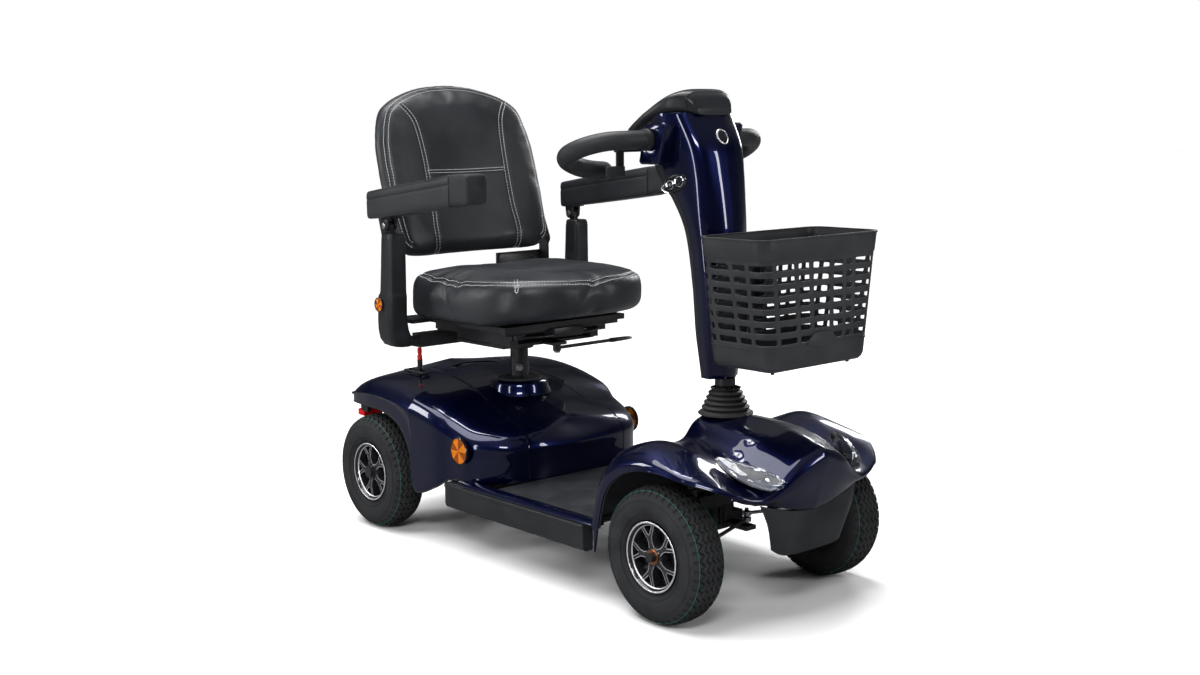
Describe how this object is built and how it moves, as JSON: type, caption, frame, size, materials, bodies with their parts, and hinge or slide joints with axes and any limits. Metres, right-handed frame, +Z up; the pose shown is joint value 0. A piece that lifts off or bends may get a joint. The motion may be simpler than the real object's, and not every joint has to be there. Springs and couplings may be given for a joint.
{
  "type": "mobility scooter",
  "caption": "Mobility scooter with swivel armchair, tilting steering tiller, looped handlebar, front basket, pneumatic tyres and glossy body panels.",
  "frame": {"origin": "on the ground under the middle of the overall length, on the centre plane", "axes": "+Y to the rear of the scooter, +X to the rider's left, +Z up; the scooter faces -Y"},
  "size_m": [0.5882, 1.253, 0.9917],
  "materials": {
    "midnight_blue_paint": "metallic gloss",
    "black_textured_plastic": "fine textured",
    "black_powder_coat": "satin powder coat",
    "zinc_plated_steel": "zinc plated",
    "alloy_rim": "dark painted with machined edges",
    "tyre_rubber": "matt",
    "soft_rubber": "matt",
    "grip_foam": "satin foam",
    "black_vinyl": "satin grain",
    "amber_reflector": "prismatic",
    "red_lens": "gloss",
    "headlamp_lens": "clear faceted"
  },
  "bodies": {
    "chassis": {"main_frame": "black_powder_coat", "steering_head": "black_powder_coat", "front_axle_beam": "black_powder_coat", "seat_post": "black_powder_coat", "drive_unit": "black_powder_coat", "battery_pack": "black_textured_plastic", "motor_controller": "black_powder_coat", "rear_cowl": "midnight_blue_paint", "rear_bumper": "black_textured_plastic", "tail_light_left": "red_lens", "tail_light_right": "red_lens", "side_reflector_left": "amber_reflector", "side_reflector_right": "amber_reflector", "front_shroud": "midnight_blue_paint", "floor_pan": "black_textured_plastic", "sill_trim_left": "black_textured_plastic", "sill_trim_right": "black_textured_plastic", "headlight_left": "headlamp_lens", "headlight_right": "headlamp_lens", "front_bumper": "black_textured_plastic"},
    "steering": {"steering_shaft": "black_powder_coat", "gaiter": "soft_rubber"},
    "tiller": {"tiller_column": "black_powder_coat", "tiller_front_cover": "midnight_blue_paint", "tiller_rear_cover": "black_textured_plastic", "console_housing": "black_textured_plastic", "handlebar": "grip_foam", "basket_bracket": "black_powder_coat"},
    "basket": {"basket": "black_textured_plastic"},
    "throttle": {"throttle_lever": "black_textured_plastic"},
    "speed_knob": {"speed_knob": "black_textured_plastic"},
    "key": {"key": "black_textured_plastic"},
    "horn": {"horn_button": "red_lens"},
    "tilt_lever": {"tilt_lever": "zinc_plated_steel"},
    "swivel": {"seat_swivel_plate": "black_powder_coat"},
    "swivel_lever": {"swivel_lever": "black_powder_coat"},
    "chair": {"seat_base": "black_powder_coat", "seat_cushion": "black_vinyl"},
    "backrest": {"backrest_pad": "black_vinyl", "backrest_shell": "black_textured_plastic"},
    "battery_cover": {"battery_cover": "midnight_blue_paint"},
    "freewheel": {"freewheel_lever": "black_textured_plastic"},
    "knuckle_left": {"knuckle_left": "black_powder_coat"},
    "tie_rod_left": {"tie_rod_left": "zinc_plated_steel"},
    "front_wheel_left": {"front_left_tyre": "tyre_rubber", "front_left_rim": "alloy_rim"},
    "rear_wheel_left": {"rear_left_tyre": "tyre_rubber", "rear_left_rim": "alloy_rim", "rear_axle_left": "black_powder_coat"},
    "arm_left_slide": {"arm_post_left": "black_textured_plastic"},
    "arm_left": {"armrest_left": "black_vinyl"},
    "knuckle_right": {"knuckle_right": "black_powder_coat"},
    "tie_rod_right": {"tie_rod_right": "zinc_plated_steel"},
    "front_wheel_right": {"front_right_tyre": "tyre_rubber", "front_right_rim": "alloy_rim"},
    "rear_wheel_right": {"rear_right_tyre": "tyre_rubber", "rear_right_rim": "alloy_rim", "rear_axle_right": "black_powder_coat"},
    "arm_right_slide": {"arm_post_right": "black_textured_plastic"},
    "arm_right": {"armrest_right": "black_vinyl"}
  },
  "joints": [
    {"name": "steering", "type": "hinge", "parent": "chassis", "child": "steering", "pos_m": [0, -0.3754, 0.3], "axis": [0, 0, 1], "range_deg": [-30, 30]},
    {"name": "tiller_tilt", "type": "hinge", "parent": "steering", "child": "tiller", "pos_m": [0, -0.3754, 0.365], "axis": [-1, 0, 0], "range_deg": [0, 20], "deforming": ["gaiter"]},
    {"name": "basket_lift", "type": "slide", "parent": "tiller", "child": "basket", "axis": [0, 0, 1], "range_m": [0, 0.12]},
    {"name": "throttle", "type": "hinge", "parent": "tiller", "child": "throttle", "pos_m": [0, -0.2239, 0.846], "axis": [0, 0, 1], "range_deg": [-6, 6], "stiffness_Nm_per_rad": 1.5},
    {"name": "speed_dial", "type": "hinge", "parent": "tiller", "child": "speed_knob", "pos_m": [0.034, -0.2499, 0.9285], "axis": [0, 0.4866, 0.8736], "range_deg": [0, 270]},
    {"name": "key_turn", "type": "hinge", "parent": "tiller", "child": "key", "pos_m": [0.056, -0.2134, 0.9085], "axis": [0, 0.4866, 0.8736], "range_deg": [0, 90]},
    {"name": "horn_press", "type": "slide", "parent": "tiller", "child": "horn", "axis": [0, -0.4866, -0.8736], "range_m": [0, 0.002], "stiffness_N_per_m": 300},
    {"name": "tilt_lever_pull", "type": "hinge", "parent": "tiller", "child": "tilt_lever", "pos_m": [-0.03, -0.2644, 0.77], "axis": [1, 0, 0], "range_deg": [0, 20], "stiffness_Nm_per_rad": 0.3},
    {"name": "knuckle_left_turn", "type": "hinge", "parent": "chassis", "child": "knuckle_left", "pos_m": [0.152, -0.4312, 0.127], "axis": [0, 0, 1], "range_deg": [-30, 30]},
    {"name": "tie_rod_left_turn", "type": "hinge", "parent": "steering", "child": "tie_rod_left", "pos_m": [0, -0.4304, 0.162], "axis": [0, 0, 1], "range_deg": [-30, 30]},
    {"name": "front_wheel_left_spin", "type": "hinge", "parent": "knuckle_left", "child": "front_wheel_left", "pos_m": [0.215, -0.4312, 0.127], "axis": [1, 0, 0], "continuous": true},
    {"name": "rear_wheel_left_spin", "type": "hinge", "parent": "chassis", "child": "rear_wheel_left", "pos_m": [0.228, 0.4824, 0.127], "axis": [1, 0, 0], "continuous": true},
    {"name": "arm_left_width", "type": "slide", "parent": "chair", "child": "arm_left_slide", "axis": [1, 0, 0], "range_m": [0, 0.04]},
    {"name": "arm_left_lift", "type": "hinge", "parent": "arm_left_slide", "child": "arm_left", "pos_m": [0.2556, 0.3756, 0.684], "axis": [-1, 0, 0], "range_deg": [0, 85]},
    {"name": "knuckle_right_turn", "type": "hinge", "parent": "chassis", "child": "knuckle_right", "pos_m": [-0.152, -0.4312, 0.127], "axis": [0, 0, 1], "range_deg": [-30, 30]},
    {"name": "tie_rod_right_turn", "type": "hinge", "parent": "steering", "child": "tie_rod_right", "pos_m": [0, -0.4304, 0.15], "axis": [0, 0, 1], "range_deg": [-30, 30]},
    {"name": "front_wheel_right_spin", "type": "hinge", "parent": "knuckle_right", "child": "front_wheel_right", "pos_m": [-0.215, -0.4312, 0.127], "axis": [1, 0, 0], "continuous": true},
    {"name": "rear_wheel_right_spin", "type": "hinge", "parent": "chassis", "child": "rear_wheel_right", "pos_m": [-0.228, 0.4824, 0.127], "axis": [1, 0, 0], "continuous": true},
    {"name": "arm_right_width", "type": "slide", "parent": "chair", "child": "arm_right_slide", "axis": [-1, 0, 0], "range_m": [0, 0.04]},
    {"name": "arm_right_lift", "type": "hinge", "parent": "arm_right_slide", "child": "arm_right", "pos_m": [-0.2556, 0.3756, 0.684], "axis": [-1, 0, 0], "range_deg": [0, 85]},
    {"name": "seat_swivel", "type": "hinge", "parent": "chassis", "child": "swivel", "pos_m": [0, 0.2631, 0.4053], "axis": [0, 0, 1], "continuous": true},
    {"name": "swivel_lever_turn", "type": "hinge", "parent": "swivel", "child": "swivel_lever", "pos_m": [0, 0.1296, 0.4175], "axis": [0, 0, 1], "range_deg": [0, 15]},
    {"name": "seat_slide", "type": "slide", "parent": "swivel", "child": "chair", "axis": [0, 1, 0], "range_m": [-0.04, 0.04]},
    {"name": "backrest_fold", "type": "hinge", "parent": "chair", "child": "backrest", "pos_m": [0, 0.4356, 0.625], "axis": [1, 0, 0], "range_deg": [0, 80]},
    {"name": "battery_cover_lift", "type": "slide", "parent": "chassis", "child": "battery_cover", "axis": [0, 0, 1], "range_m": [0, 0.05]},
    {"name": "freewheel", "type": "hinge", "parent": "chassis", "child": "freewheel", "pos_m": [-0.15, 0.4336, 0.3], "axis": [-1, 0, 0], "range_deg": [0, 25]}
  ],
  "couplings": [
    {"joint": "knuckle_left_turn", "follows": "steering", "ratio": 1},
    {"joint": "knuckle_right_turn", "follows": "steering", "ratio": 1},
    {"joint": "tie_rod_left_turn", "follows": "steering", "ratio": -1},
    {"joint": "tie_rod_right_turn", "follows": "steering", "ratio": -1}
  ]
}
